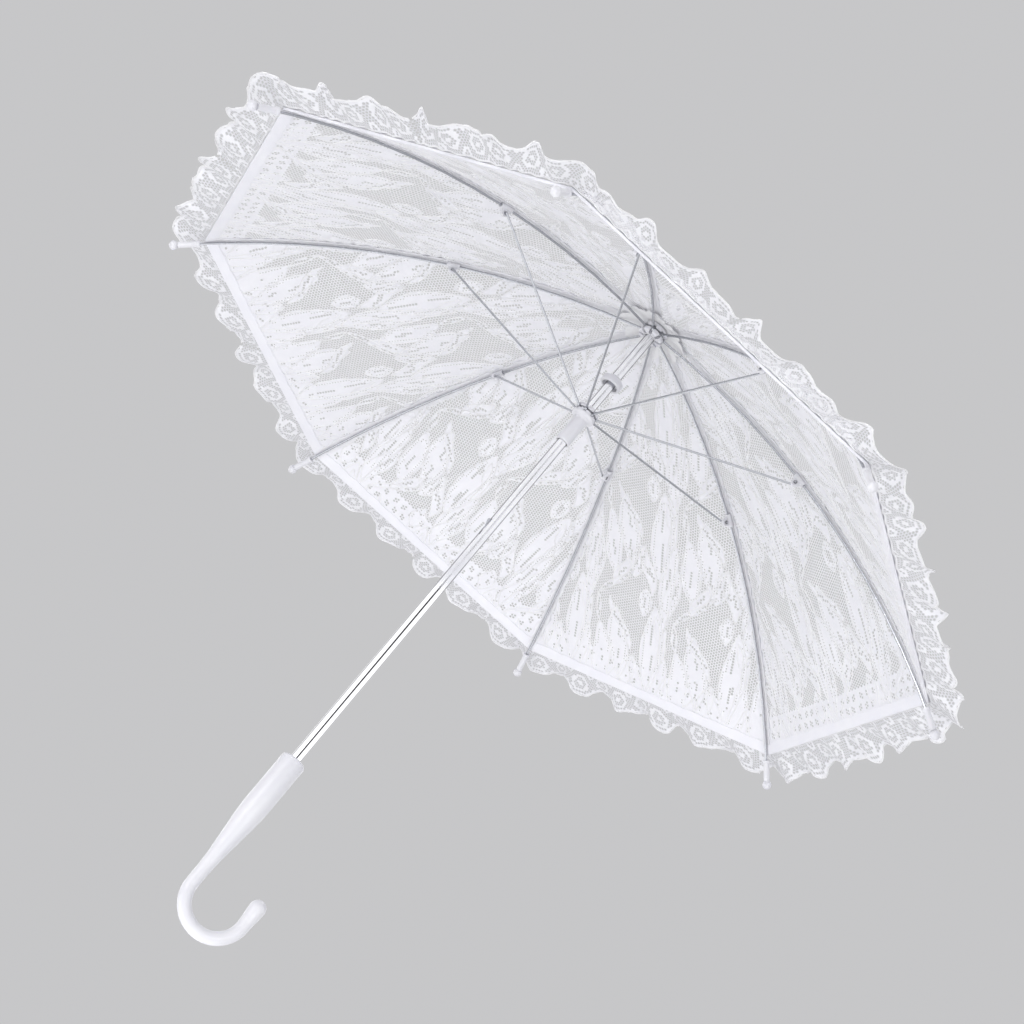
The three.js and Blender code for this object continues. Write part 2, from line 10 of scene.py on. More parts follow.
import bpy
import numpy as np
from mathutils import Matrix, Vector
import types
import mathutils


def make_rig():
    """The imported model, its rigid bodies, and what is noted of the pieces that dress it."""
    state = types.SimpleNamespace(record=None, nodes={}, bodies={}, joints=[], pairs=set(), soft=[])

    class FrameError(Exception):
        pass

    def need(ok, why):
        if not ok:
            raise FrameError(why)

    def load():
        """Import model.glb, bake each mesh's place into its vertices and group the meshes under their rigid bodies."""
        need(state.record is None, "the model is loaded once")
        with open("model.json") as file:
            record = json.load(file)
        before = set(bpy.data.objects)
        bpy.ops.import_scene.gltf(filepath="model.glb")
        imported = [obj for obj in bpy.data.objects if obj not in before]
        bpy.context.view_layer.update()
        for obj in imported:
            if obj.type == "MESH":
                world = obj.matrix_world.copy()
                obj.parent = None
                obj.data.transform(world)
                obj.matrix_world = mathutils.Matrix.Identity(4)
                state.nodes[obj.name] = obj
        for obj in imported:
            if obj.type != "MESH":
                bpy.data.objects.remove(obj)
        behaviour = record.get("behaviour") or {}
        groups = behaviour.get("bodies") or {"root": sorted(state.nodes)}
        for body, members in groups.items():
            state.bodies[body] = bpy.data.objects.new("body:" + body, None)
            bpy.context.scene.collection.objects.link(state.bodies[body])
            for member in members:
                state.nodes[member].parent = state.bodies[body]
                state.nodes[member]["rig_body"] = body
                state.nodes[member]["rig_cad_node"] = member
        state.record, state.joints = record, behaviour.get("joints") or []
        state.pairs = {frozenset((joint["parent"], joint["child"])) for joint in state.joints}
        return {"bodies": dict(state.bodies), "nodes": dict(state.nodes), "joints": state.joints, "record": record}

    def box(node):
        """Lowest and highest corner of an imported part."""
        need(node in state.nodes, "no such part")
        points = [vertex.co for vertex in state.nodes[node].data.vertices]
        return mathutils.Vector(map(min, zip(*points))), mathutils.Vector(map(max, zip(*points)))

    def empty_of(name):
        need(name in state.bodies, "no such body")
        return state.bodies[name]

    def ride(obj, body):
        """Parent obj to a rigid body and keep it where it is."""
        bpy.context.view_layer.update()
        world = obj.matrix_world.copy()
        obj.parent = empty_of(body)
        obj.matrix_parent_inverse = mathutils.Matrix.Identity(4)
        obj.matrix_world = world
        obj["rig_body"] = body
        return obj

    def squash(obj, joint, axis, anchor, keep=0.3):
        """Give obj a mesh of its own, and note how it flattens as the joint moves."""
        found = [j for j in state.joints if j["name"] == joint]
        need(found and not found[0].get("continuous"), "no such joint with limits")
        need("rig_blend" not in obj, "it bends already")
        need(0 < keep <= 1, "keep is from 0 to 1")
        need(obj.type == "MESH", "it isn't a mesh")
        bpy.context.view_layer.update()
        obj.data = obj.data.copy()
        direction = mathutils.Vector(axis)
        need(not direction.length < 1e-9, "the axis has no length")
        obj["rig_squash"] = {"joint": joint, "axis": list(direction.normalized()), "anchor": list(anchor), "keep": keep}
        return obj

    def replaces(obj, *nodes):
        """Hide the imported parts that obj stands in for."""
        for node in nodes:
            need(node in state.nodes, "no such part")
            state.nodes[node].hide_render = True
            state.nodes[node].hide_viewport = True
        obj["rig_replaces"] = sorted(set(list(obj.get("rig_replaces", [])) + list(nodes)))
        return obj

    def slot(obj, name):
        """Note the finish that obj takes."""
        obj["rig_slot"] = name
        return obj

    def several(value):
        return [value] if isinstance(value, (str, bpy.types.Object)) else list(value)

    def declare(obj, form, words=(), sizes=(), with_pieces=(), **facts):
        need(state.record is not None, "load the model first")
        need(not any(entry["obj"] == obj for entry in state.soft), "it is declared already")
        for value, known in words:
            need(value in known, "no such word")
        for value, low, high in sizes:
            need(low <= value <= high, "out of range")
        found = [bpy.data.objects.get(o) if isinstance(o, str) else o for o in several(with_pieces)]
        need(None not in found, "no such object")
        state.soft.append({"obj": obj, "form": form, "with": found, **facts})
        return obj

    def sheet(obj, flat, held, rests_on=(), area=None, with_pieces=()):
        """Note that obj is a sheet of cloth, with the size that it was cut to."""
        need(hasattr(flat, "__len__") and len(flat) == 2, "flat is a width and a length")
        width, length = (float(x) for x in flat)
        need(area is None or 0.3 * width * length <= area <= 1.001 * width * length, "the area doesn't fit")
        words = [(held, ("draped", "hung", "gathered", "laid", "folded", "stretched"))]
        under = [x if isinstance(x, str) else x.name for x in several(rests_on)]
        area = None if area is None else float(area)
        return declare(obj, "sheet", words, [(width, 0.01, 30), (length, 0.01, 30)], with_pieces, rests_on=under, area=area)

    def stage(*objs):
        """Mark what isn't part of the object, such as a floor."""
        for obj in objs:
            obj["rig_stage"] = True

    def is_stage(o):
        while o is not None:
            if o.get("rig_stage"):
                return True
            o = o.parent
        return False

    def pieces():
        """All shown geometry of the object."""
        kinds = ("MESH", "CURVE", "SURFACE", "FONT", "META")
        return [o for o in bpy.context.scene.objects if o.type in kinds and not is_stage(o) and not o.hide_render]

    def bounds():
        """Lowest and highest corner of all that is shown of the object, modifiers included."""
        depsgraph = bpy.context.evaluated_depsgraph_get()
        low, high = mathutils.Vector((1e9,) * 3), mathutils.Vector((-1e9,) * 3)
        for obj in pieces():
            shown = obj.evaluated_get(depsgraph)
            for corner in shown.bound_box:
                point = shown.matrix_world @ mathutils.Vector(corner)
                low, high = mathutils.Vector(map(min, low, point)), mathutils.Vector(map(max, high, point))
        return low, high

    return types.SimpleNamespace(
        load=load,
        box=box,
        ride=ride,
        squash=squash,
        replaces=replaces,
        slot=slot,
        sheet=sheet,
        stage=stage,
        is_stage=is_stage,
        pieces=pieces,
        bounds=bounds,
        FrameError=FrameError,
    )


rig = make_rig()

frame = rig.load()
cad_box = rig.bounds()

# ---- places from the frame ----
MM = 0.001
RIBS = 8
HALF_STEP = math.pi / RIBS
JOINTS = {joint["name"]: joint for joint in frame["record"]["behaviour"]["joints"]}
FIRST_PIVOT = JOINTS["rib_1_fold"]["pos_m"]
PIVOT_RADIUS = math.hypot(FIRST_PIVOT[0], FIRST_PIVOT[1])
NOTCH_Z = FIRST_PIVOT[2]
SHAFT_LOW, SHAFT_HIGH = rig.box("shaft")
SHAFT_RADIUS = SHAFT_HIGH[0]
SHAFT_BORE = SHAFT_RADIUS + 0.3 * MM  # of what sits on the tube
HANDLE_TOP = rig.box("handle")[1][2]

# ---- the rib's curve and the canopy over it ----
RIB_BEND = 584 * MM
RIB_START = math.radians(7.92)
RIM_ALONG = 327 * MM
CANOPY_LIFT = 2.8 * MM  # above the rib's centreline
CANOPY_LIFT_CROWN = 6.7 * MM  # over the notch
CANOPY_CROWN = 9 * MM  # radius up to which it keeps that lift
CANOPY_SETTLED = 58 * MM  # radius where the canopy comes down to the ribs
CANOPY_THICKNESS = 1.0 * MM
SAG = 7 * MM
SAG_PEAK = 27 / 4  # brings the highest value of share**2 * (1 - share) to 1
PUCKER, PUCKER_REACH = 0.55, 13  # millimetres: half a pucker's height, and how far it runs from the rib

# ---- lace ----
NET_PITCH = 2.4  # millimetres, as are the rest of the lace's sizes
NET_HOLE = 0.76  # share of a net cell's width that is open
SLIT_HOLE = 0.80
HOLE_JITTER = 0.035
ROW_HOLE = 0.46
ROW_HALF_WIDTH = 5.0  # leaves wider than this have an inner row of holes
ROW_ENDS = 0.12  # share of the leaf without the row at either end
ROW_INSET, ROW_DEPTH = 1.1, 0.95 * NET_PITCH
LEAF_LIFT = -0.45  # how far a filled cell's middle stands off the net
REPEAT_ALONG, REPEAT_ACROSS = 100.0, 74.0
CORD_WIDTH, CORD_RELIEF, CORD_STEP = 1.0, 0.35, 2.6
RIM_BAND = 27.0  # denser weave inside the hem, with two rows of oval holes
OVAL_STEP, OVAL_HALF_LENGTH = 9.0, 2.2
OVAL_ROWS = ((13, 2.4), (21, 2.0))  # from the rim, and half the width
HEM_WIDTH = 8.5
SEAM_HALF_WIDTH = 3.4
LACE_INNER = 3.0  # along the rib, where the lace starts under the crown cap

# Woven leaves of one repeat: start and end as (along from the rim, across), half width, bow of the
# centreline, and slits as shares of the length with an offset across.
LEAVES = (
    ((0, 0), (78, 1.5), 10.5, 1.0, ((0.12, 0.44, -1.0), (0.55, 0.80, 2.5))),
    ((66, -9), (147, -6), 7.0, 2.5, ((0.36, 0.62, 0.0),)),
    ((66, 12), (90, 12), 6.0, 0.0, ((0.30, 0.70, 0.0),)),
    ((86, 6), (128, 17), 5.0, -2.0, ((0.25, 0.55, -1.4), (0.40, 0.72, 1.8))),
    ((102, 28), (164, 38), 9.5, -1.5, ((0.10, 0.40, 1.0), (0.55, 0.75, -2.5))),
    ((45, 53), (-11, 41), 8.5, 1.5, ((0.45, 0.70, 0.0),)),
    ((27, 18), (-4, 24), 6.5, 0.0, ((0.25, 0.72, -2.2), (0.25, 0.72, 2.2))),
    ((102, 25), (68, 58), 2.4, 0.8, ((0.12, 0.88, 0.0),)),
    ((68, 58), (45, 53), 2.2, 0.4, ((0.15, 0.85, 0.0),)),
    ((70, 46), (31, 20), 3.6, -2.0, ((0.25, 0.75, 0.0),)),
    ((147, -6), (170, 1), 2.4, 0.5, ((0.15, 0.85, 0.0),)),
    ((60, 66), (118, 60), 6.5, 2.0, ((0.15, 0.40, 1.0), (0.50, 0.75, -1.2))),
    ((80, 44), (112, 30), 4.5, 1.5, ((0.30, 0.70, 0.0),)),
    ((28, 67), (62, 63), 3.0, -1.0, ((0.20, 0.80, 0.0),)),
)
SLIT_HALF_WIDTH = 1.15
SHIFT, SHIFT_ALONG, SHIFT_ACROSS = 8.0, 37.0, 11.0  # where the repeat starts, and its steps by gore

# ---- ruffle ----
RUFFLE_HEADING = 6 * MM
RUFFLE_REACH = 27 * MM
RUFFLE_RISE = -4 * MM
RUFFLE_FULLNESS = 1.34  # flat length over gathered length
RUFFLE_WAVES = 6  # per gore
RUFFLE_WAVE = 4.2 * MM
RUFFLE_HOLE = 0.66
SCALLOP = 26.0  # millimetres along the flat strip, as are the sizes below
SCALLOP_DEPTH = 3.2
EDGE_FILLED = 3.2
HEADING_FILLED = 6.5
RUFFLE_CORD_WIDTH, RUFFLE_CORD_RELIEF = 1.3, 0.4

rng = np.random.default_rng(7)


def smoothstep(value, low, high):
    share = np.clip((value - low) / (high - low), 0, 1)
    return share * share * (3 - 2 * share)


def rib_azimuth(k):
    return (2 * k + 1) * HALF_STEP


def rib_line(along):
    """Radius and height of a rib's centreline."""
    angle = RIB_START + along / RIB_BEND
    radius = PIVOT_RADIUS + RIB_BEND * (np.sin(angle) - math.sin(RIB_START))
    return radius, NOTCH_Z - RIB_BEND * (math.cos(RIB_START) - np.cos(angle))


def canopy(turn, along, height=0.0):
    """Points of the canopy about its rib, which lies along +X: turn from the rib, distance along it,
    and height above the underside."""
    slope = np.maximum(along, 0)
    radius, z = rib_line(slope)
    radius = radius + along - slope
    to_middle = np.abs(turn) / HALF_STEP
    share = slope / RIM_ALONG
    sag = SAG * SAG_PEAK * share**2 * (1 - share) * to_middle * (2 - to_middle)
    settled = smoothstep(radius, CANOPY_CROWN, CANOPY_SETTLED)
    lift = CANOPY_LIFT_CROWN + (CANOPY_LIFT - CANOPY_LIFT_CROWN) * settled
    lean = height * np.sin(RIB_START + slope / RIB_BEND)
    reach = (radius + lean) * math.cos(HALF_STEP) / np.cos(HALF_STEP - np.abs(turn))
    return np.stack([reach * np.cos(turn), reach * np.sin(turn), z + lift - sag + height], -1)


def wrinkles(along, turn):
    """Puckers beside the ribs and a slow waviness of the cloth, never below zero."""
    radius, _ = rib_line(along)
    from_rib = radius * np.sin(np.abs(turn)) / MM
    u = along / MM
    pucker = (1 + np.sin(u * 0.62 + 2.5 * np.sin(u / 31) + from_rib * 0.16)) * PUCKER
    pucker = pucker * np.exp(-from_rib / PUCKER_REACH)
    billow = 0.5 + 0.5 * np.sin(u / 17 + from_rib / 11) * np.sin(u / 41 - from_rib / 19)
    fade = smoothstep(along, 20 * MM, 70 * MM) * (1 - smoothstep(along, 296 * MM, 317 * MM))
    return (pucker + billow * smoothstep(from_rib, 0, 25)) * fade * MM


def turned_about_z(points, azimuth):
    c, s = math.cos(azimuth), math.sin(azimuth)
    x, y = points[..., 0], points[..., 1]
    return np.stack([c * x - s * y, s * x + c * y, points[..., 2]], -1)


# ---- meshes ----
def angles_round(sides):
    return np.arange(sides) * 2 * math.pi / sides


def make_object(name, points, polygons, materials, looks=None, sharp=None):
    """A mesh object from points and index arrays, one row a polygon. looks gives their materials."""
    mesh = bpy.data.meshes.new(name)
    polygons = [p for p in polygons if len(p)]
    corners = np.concatenate([p.ravel() for p in polygons]).astype(np.int32)
    sizes = np.concatenate([np.full(len(p), p.shape[1]) for p in polygons])
    mesh.vertices.add(len(points))
    mesh.vertices.foreach_set("co", np.asarray(points, np.float32).ravel())
    mesh.loops.add(len(corners))
    mesh.loops.foreach_set("vertex_index", corners)
    mesh.polygons.add(len(sizes))
    mesh.polygons.foreach_set("loop_start", (np.cumsum(sizes) - sizes).astype(np.int32))
    for material in materials:
        mesh.materials.append(material)
    if looks is not None:
        mesh.polygons.foreach_set("material_index", np.concatenate(looks).astype(np.int32))
    mesh.update(calc_edges=True)
    mesh.validate()
    if sharp is not None:
        mesh.shade_smooth()
        mesh.set_sharp_from_angle(angle=math.radians(sharp))
    made = bpy.data.objects.new(name, mesh)
    bpy.context.scene.collection.objects.link(made)
    return made


def rings(name, stations, material, sides=64, sharp=32):
    """A closed body through circles: each station is a centre, a direction and a radius.
    It starts and ends with a point, given as a radius of 0."""
    points, polygons = [], []
    around = angles_round(sides)
    for centre, direction, radius in stations:
        centre, direction = np.asarray(centre, float), np.asarray(direction, float)
        side = np.cross([0, 1, 0], direction)
        side = side / np.linalg.norm(side)
        other = np.cross(direction, side)
        if radius == 0:
            points.append(centre[None, :])
        else:
            turn = np.outer(np.cos(around), side) + np.outer(np.sin(around), other)
            points.append(centre + radius * turn)
    starts = np.cumsum([0] + [len(p) for p in points])
    step = np.arange(sides)
    following = (step + 1) % sides
    for i in range(len(points) - 1):
        a, b = starts[i], starts[i + 1]
        if len(points[i]) == 1:
            polygons.append(np.stack([np.full(sides, a), b + following, b + step], 1))
        elif len(points[i + 1]) == 1:
            polygons.append(np.stack([a + step, a + following, np.full(sides, b)], 1))
        else:
            polygons.append(np.stack([a + step, a + following, b + following, b + step], 1))
    return make_object(name, np.concatenate(points), polygons, [material], sharp=sharp)


def lathe(name, profile, material, place=None, sides=64, sharp=32):
    """A turned body from (radius, z) pairs that start and end on the axis, with z rising overall."""
    stations = [((0, 0, z), (0, 0, 1), r) for r, z in profile]
    made = rings(name, stations, material, sides, sharp)
    if place is not None:
        made.data.transform(place)
    return made


def turned_ring(name, profile, material, sides=64, sharp=32):
    """A turned ring whose profile of (radius, z) pairs closes on itself."""
    around = angles_round(sides)
    rows = [
        np.stack([r * np.cos(around), r * np.sin(around), np.full(sides, z)], 1)
        for r, z in profile
    ]
    step = np.arange(sides)
    following = (step + 1) % sides
    polygons = []
    for i in range(len(profile)):
        a, b = i * sides, (i + 1) % len(profile) * sides
        polygons.append(np.stack([a + step, a + following, b + following, b + step], 1))
    return make_object(name, np.concatenate(rows), polygons, [material], sharp=sharp)


def thick_grid(name, upper, lower, material, missing=None, wrap=False, sharp=40):
    """A closed sheet between two grids of points, less the missing cells. wrap joins its two sides."""
    rows, columns = upper.shape[:2]
    across = columns if wrap else columns - 1
    present = np.ones((rows - 1, across), bool) if missing is None else ~missing
    number = np.arange(rows * columns).reshape(rows, columns)
    low = number + rows * columns
    right = np.roll(number, -1, 1)
    quads = []
    i, j = np.nonzero(present)
    quads.append(np.stack([number[i, j], right[i, j], right[i + 1, j], number[i + 1, j]], 1))
    quads.append(np.stack([low[i, j], low[i + 1, j], right[i + 1, j] + rows * columns,
                           right[i, j] + rows * columns], 1))
    bounded = np.zeros((rows + 1, across + 2), bool)
    bounded[1:rows, 1:across + 1] = present
    if wrap:
        bounded[:, 0], bounded[:, -1] = bounded[:, across], bounded[:, 1]
    walls = (
        (bounded[0:rows - 1, 1:across + 1], 0, 0, 0, 1),
        (bounded[2:rows + 1, 1:across + 1], 1, 1, 1, 0),
        (bounded[1:rows, 0:across], 1, 0, 0, 0),
        (bounded[1:rows, 2:across + 2], 0, 1, 1, 1),
    )
    for beside, di, dj, ei, ej in walls:
        i, j = np.nonzero(present & ~beside)
        a = (right if dj else number)[i + di, j]
        b = (right if ej else number)[i + ei, j]
        quads.append(np.stack([b, a, a + rows * columns, b + rows * columns], 1))
    points = np.concatenate([upper.reshape(-1, 3), lower.reshape(-1, 3)])
    used = np.unique(np.concatenate(quads))
    place = np.zeros(len(points), int)
    place[used] = np.arange(len(used))
    return make_object(name, points[used], [place[q] for q in quads], [material], sharp=sharp)


def finished(node, body, slot, material, bevel=0.18 * MM, sharp=32):
    """A copy of a CAD node to show in its place, with its turned faces smooth and, unless bevel is 0,
    its edges broken."""
    made = bpy.data.objects.new(f"{node}_shown", frame["nodes"][node].data.copy())
    bpy.context.scene.collection.objects.link(made)
    made.data.materials.clear()
    made.data.materials.append(material)
    if bevel:
        flat = made.modifiers.new("flat", "DECIMATE")
        flat.decimate_type = "DISSOLVE"
        flat.angle_limit = math.radians(1)
        edge = made.modifiers.new("edge", "BEVEL")
        edge.width = bevel
        edge.segments = 2
        edge.limit_method = "ANGLE"
        edge.angle_limit = math.radians(35)
    graph = bpy.context.evaluated_depsgraph_get()
    shape = bpy.data.meshes.new_from_object(made.evaluated_get(graph))
    made.modifiers.clear()
    made.data = shape
    shape.shade_smooth()
    shape.set_sharp_from_angle(angle=math.radians(sharp))
    return placed(made, body, slot, node)


def placed(made, body, slot, *nodes):
    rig.ride(made, body)
    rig.slot(made, slot)
    if nodes:
        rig.replaces(made, *nodes)
    return made


# ---- materials ----
class Look:
    """A material's node tree with a Principled shader, and short ways to add to it."""

    def __init__(self, name, color, roughness, metallic=0.0):
        self.material = bpy.data.materials.new(name)
        self.material.use_nodes = True
        self.nodes = self.material.node_tree.nodes
        self.links = self.material.node_tree.links
        self.shader = self.nodes["Principled BSDF"]
        self.output = self.nodes["Material Output"]
        self.shader.inputs["Base Color"].default_value = (*color, 1)
        self.shader.inputs["Roughness"].default_value = roughness
        self.shader.inputs["Metallic"].default_value = metallic
        self.place = self.add("ShaderNodeTexCoord").outputs["Object"]

    def add(self, kind, **values):
        node = self.nodes.new(kind)
        for key, value in values.items():
            setattr(node, key, value)
        return node

    def noise(self, scale, detail=3.0, stretch=(1, 1, 1)):
        mapping = self.add("ShaderNodeMapping")
        mapping.inputs["Scale"].default_value = stretch
        self.links.new(self.place, mapping.inputs["Vector"])
        noise = self.add("ShaderNodeTexNoise")
        noise.inputs["Scale"].default_value = scale
        noise.inputs["Detail"].default_value = detail
        self.links.new(mapping.outputs["Vector"], noise.inputs["Vector"])
        return noise.outputs["Fac"]

    def waves(self, scale, direction, distortion=1.0):
        wave = self.add("ShaderNodeTexWave", bands_direction=direction)
        wave.inputs["Scale"].default_value = scale
        wave.inputs["Distortion"].default_value = distortion
        self.links.new(self.place, wave.inputs["Vector"])
        return wave.outputs["Fac"]

    def spread(self, value, low, high):
        spread = self.add("ShaderNodeMapRange")
        spread.inputs["To Min"].default_value = low
        spread.inputs["To Max"].default_value = high
        self.links.new(value, spread.inputs["Value"])
        return spread.outputs["Result"]

    def colors(self, value, first, second):
        ramp = self.add("ShaderNodeValToRGB")
        ramp.color_ramp.elements[0].position = 0.3
        ramp.color_ramp.elements[1].position = 0.7
        ramp.color_ramp.elements[0].color = (*first, 1)
        ramp.color_ramp.elements[1].color = (*second, 1)
        self.links.new(value, ramp.inputs["Fac"])
        self.links.new(ramp.outputs["Color"], self.shader.inputs["Base Color"])

    def rough(self, value, low, high):
        self.links.new(self.spread(value, low, high), self.shader.inputs["Roughness"])

    def bump(self, values, distance, strength=0.5):
        total = values[0]
        for value in values[1:]:
            both = self.add("ShaderNodeMath", operation="ADD")
            self.links.new(total, both.inputs[0])
            self.links.new(value, both.inputs[1])
            total = both.outputs["Value"]
        bump = self.add("ShaderNodeBump")
        bump.inputs["Distance"].default_value = distance
        bump.inputs["Strength"].default_value = strength
        self.links.new(total, bump.inputs["Height"])
        self.links.new(bump.outputs["Normal"], self.shader.inputs["Normal"])

    def translucent(self, share, color):
        through = self.add("ShaderNodeBsdfTranslucent")
        through.inputs["Color"].default_value = (*color, 1)
        mix = self.add("ShaderNodeMixShader")
        mix.inputs["Fac"].default_value = share
        self.links.new(self.shader.outputs["BSDF"], mix.inputs[1])
        self.links.new(through.outputs["BSDF"], mix.inputs[2])
        self.links.new(mix.outputs["Shader"], self.output.inputs["Surface"])


def cloth_look(name, first, second, roughness, sheen, thread=1500, through=0.22, relief=0.12):
    look = Look(name, first, roughness)
    look.colors(look.noise(60, 4), first, second)
    look.bump([look.waves(thread, "X"), look.waves(thread, "Y"), look.noise(900)], relief * MM)
    look.shader.inputs["Sheen Weight"].default_value = sheen
    look.shader.inputs["Sheen Roughness"].default_value = 0.4
    look.shader.inputs["Specular IOR Level"].default_value = 0.3
    look.translucent(through, second)
    return look.material


def plastic_look():
    look = Look("white_plastic", (0.66, 0.66, 0.69), 0.36)
    look.colors(look.noise(35, 4), (0.65, 0.65, 0.69), (0.69, 0.69, 0.72))
    look.rough(look.noise(90, 5), 0.30, 0.44)
    look.bump([look.noise(420, 6)], 0.05 * MM, 0.35)
    look.shader.inputs["Subsurface Weight"].default_value = 0.15
    look.shader.inputs["Subsurface Radius"].default_value = (0.003, 0.003, 0.0034)
    look.shader.inputs["Subsurface Scale"].default_value = 1.0
    return look.material


def metal_look(name, color, low, high, grain):
    look = Look(name, color, low, 1.0)
    look.colors(look.noise(120, 3, (1, 1, 0.05)), color, tuple(c * 0.94 for c in color))
    look.rough(look.noise(300, 4, (1, 1, 0.03)), low, high)
    look.bump([look.noise(700, 4, (1, 1, 0.02))], grain, 0.1)
    return look.material


def chrome_look():
    """Bright drawn tube with painted reflections. Nothing dark stands round the object for it to reflect, so two
    darker bands of painted reflection run along the tube's edges as the main camera sees them."""
    look = Look("chrome_tube", (0.97, 0.97, 0.98), 0.05, 1.0)
    around = look.add("ShaderNodeTexGradient", gradient_type="RADIAL")
    look.links.new(look.place, around.inputs["Vector"])
    ramp = look.add("ShaderNodeValToRGB")
    # The darker stops are painted reflection in the base colour, set by the turn about the tube's axis.
    painted_reflection_tone, bright = 0.30, 0.97
    stops = ((0.0, painted_reflection_tone), (0.07, painted_reflection_tone), (0.095, bright), (0.375, bright), (0.40, painted_reflection_tone), (0.56, painted_reflection_tone),
             (0.585, bright), (0.875, bright), (0.90, painted_reflection_tone))
    while len(ramp.color_ramp.elements) < len(stops):
        ramp.color_ramp.elements.new(0.5)
    for element, (place, tone) in zip(ramp.color_ramp.elements, stops):
        element.position = place
        element.color = (tone, tone, tone * 1.01, 1)
    look.links.new(around.outputs["Fac"], ramp.inputs["Fac"])
    look.links.new(ramp.outputs["Color"], look.shader.inputs["Base Color"])
    look.rough(look.noise(300, 4, (1, 1, 0.03)), 0.05, 0.08)
    return look.material


CHROME = chrome_look()
STEEL = metal_look("steel_wire", (0.46, 0.47, 0.50), 0.22, 0.34, 0.03 * MM)
PIN = metal_look("dark_pin", (0.20, 0.20, 0.21), 0.35, 0.50, 0.03 * MM)
PLASTIC = plastic_look()
LACE = cloth_look("lace", (0.86, 0.86, 0.91), (0.91, 0.91, 0.95), 0.70, 0.25)
NET = cloth_look("lace_net", (0.86, 0.86, 0.90), (0.92, 0.92, 0.95), 0.75, 0.15)
# Lighter than the lace of the leaves: painted light on the raised cords.
CORD_PAINTED_LIGHT = cloth_look("lace_cord", (0.97, 0.97, 0.99), (0.98, 0.98, 0.99), 0.55, 0.3, relief=0.2)
TRIM = cloth_look("lace_trim", (0.86, 0.86, 0.90), (0.91, 0.91, 0.94), 0.70, 0.25)
# Darker than the trim's filled lace: painted shade on the ruffle's net threads.
NET_TRIM_PAINTED_SHADE = cloth_look("lace_trim_net", (0.70, 0.70, 0.74), (0.78, 0.78, 0.82), 0.75, 0.15)
# Lighter than the hem's tape: painted light that makes up for the shade the seams sit in under the canopy beside the
# ribs.
SEAM_PAINTED_LIGHT = cloth_look("seam_tape", (0.95, 0.95, 0.98), (0.97, 0.97, 0.99), 0.60, 0.35,
                  thread=1100, through=0.34)
HEM = cloth_look("lace_hem", (0.88, 0.88, 0.94), (0.92, 0.92, 0.96), 0.60, 0.35,
                 thread=1100, through=0.1)
ROSETTE = cloth_look("rosette_cloth", (0.93, 0.93, 0.95), (0.96, 0.96, 0.97), 0.8, 0.2,
                     thread=1200, through=0.12)


# ---- camera, light and stage ----
CAMERA_PLACE = (-0.1352, -1.3530, -0.3378)
CAMERA_TARGET = (0.0044, -0.0005, 0.2681)
CAMERA_RIGHT = (0.7355, -0.3388, 0.5867)  # the direction that runs level across the picture
FLOOR_Z, FLOOR_RADIUS = -0.46, 5


def look_at(obj, target, roll=0.0):
    to = (Vector(target) - obj.location).to_track_quat("-Z", "Y").to_matrix().to_4x4()
    obj.matrix_world = Matrix.Translation(obj.location) @ to @ Matrix.Rotation(roll, 4, "Z")


def make_camera():
    data = bpy.data.cameras.new("camera")
    data.lens = 77.7
    data.sensor_width = 36
    data.clip_start = 0.05
    camera = bpy.data.objects.new("camera", data)
    camera.location = CAMERA_PLACE
    bpy.context.scene.collection.objects.link(camera)
    look_at(camera, CAMERA_TARGET)
    right = Vector(CAMERA_RIGHT)
    level = camera.matrix_world.to_3x3() @ Vector((1, 0, 0))
    up = camera.matrix_world.to_3x3() @ Vector((0, 1, 0))
    look_at(camera, CAMERA_TARGET, math.atan2(right.dot(up), right.dot(level)))
    bpy.context.scene.camera = camera


def area_light(name, location, target, size, power, spread=180):
    """A round light. power is in watts and spread in degrees."""
    data = bpy.data.lights.new(name, "AREA")
    data.shape = "DISK"
    data.size = size
    data.energy = power
    data.spread = math.radians(spread)
    light = bpy.data.objects.new(name, data)
    light.location = location
    bpy.context.scene.collection.objects.link(light)
    look_at(light, target)


def make_world():
    """The camera sees a plain pale grey. What lights the object is a studio with one dark gap, which
    is brighter in reflections."""
    dark_gap = (-0.10, -0.91, 0.40)
    world = bpy.data.worlds.new("studio")
    bpy.context.scene.world = world
    world.use_nodes = True
    nodes, links = world.node_tree.nodes, world.node_tree.links
    nodes.clear()
    output = nodes.new("ShaderNodeOutputWorld")
    plain, studio = nodes.new("ShaderNodeBackground"), nodes.new("ShaderNodeBackground")
    plain.inputs["Color"].default_value = (0.57, 0.57, 0.58, 1)
    plain.inputs["Strength"].default_value = 1.0
    coordinates = nodes.new("ShaderNodeTexCoord")
    toward = nodes.new("ShaderNodeVectorMath")
    toward.operation = "DOT_PRODUCT"
    toward.inputs[1].default_value = dark_gap
    ramp = nodes.new("ShaderNodeValToRGB")
    ramp.color_ramp.elements[0].position = 0.955
    ramp.color_ramp.elements[0].color = (1.0, 1.0, 1.02, 1)
    ramp.color_ramp.elements[1].position = 0.975
    ramp.color_ramp.elements[1].color = (0.03, 0.03, 0.03, 1)
    path = nodes.new("ShaderNodeLightPath")
    mix = nodes.new("ShaderNodeMixShader")
    strength = nodes.new("ShaderNodeMapRange")
    strength.inputs["To Min"].default_value = 0.55
    strength.inputs["To Max"].default_value = 1.25
    links.new(path.outputs["Is Glossy Ray"], strength.inputs["Value"])
    links.new(strength.outputs["Result"], studio.inputs["Strength"])
    links.new(coordinates.outputs["Generated"], toward.inputs[0])
    links.new(toward.outputs["Value"], ramp.inputs["Fac"])
    links.new(ramp.outputs["Color"], studio.inputs["Color"])
    links.new(path.outputs["Is Camera Ray"], mix.inputs["Fac"])
    links.new(studio.outputs["Background"], mix.inputs[1])
    links.new(plain.outputs["Background"], mix.inputs[2])
    links.new(mix.outputs["Shader"], output.inputs["Surface"])


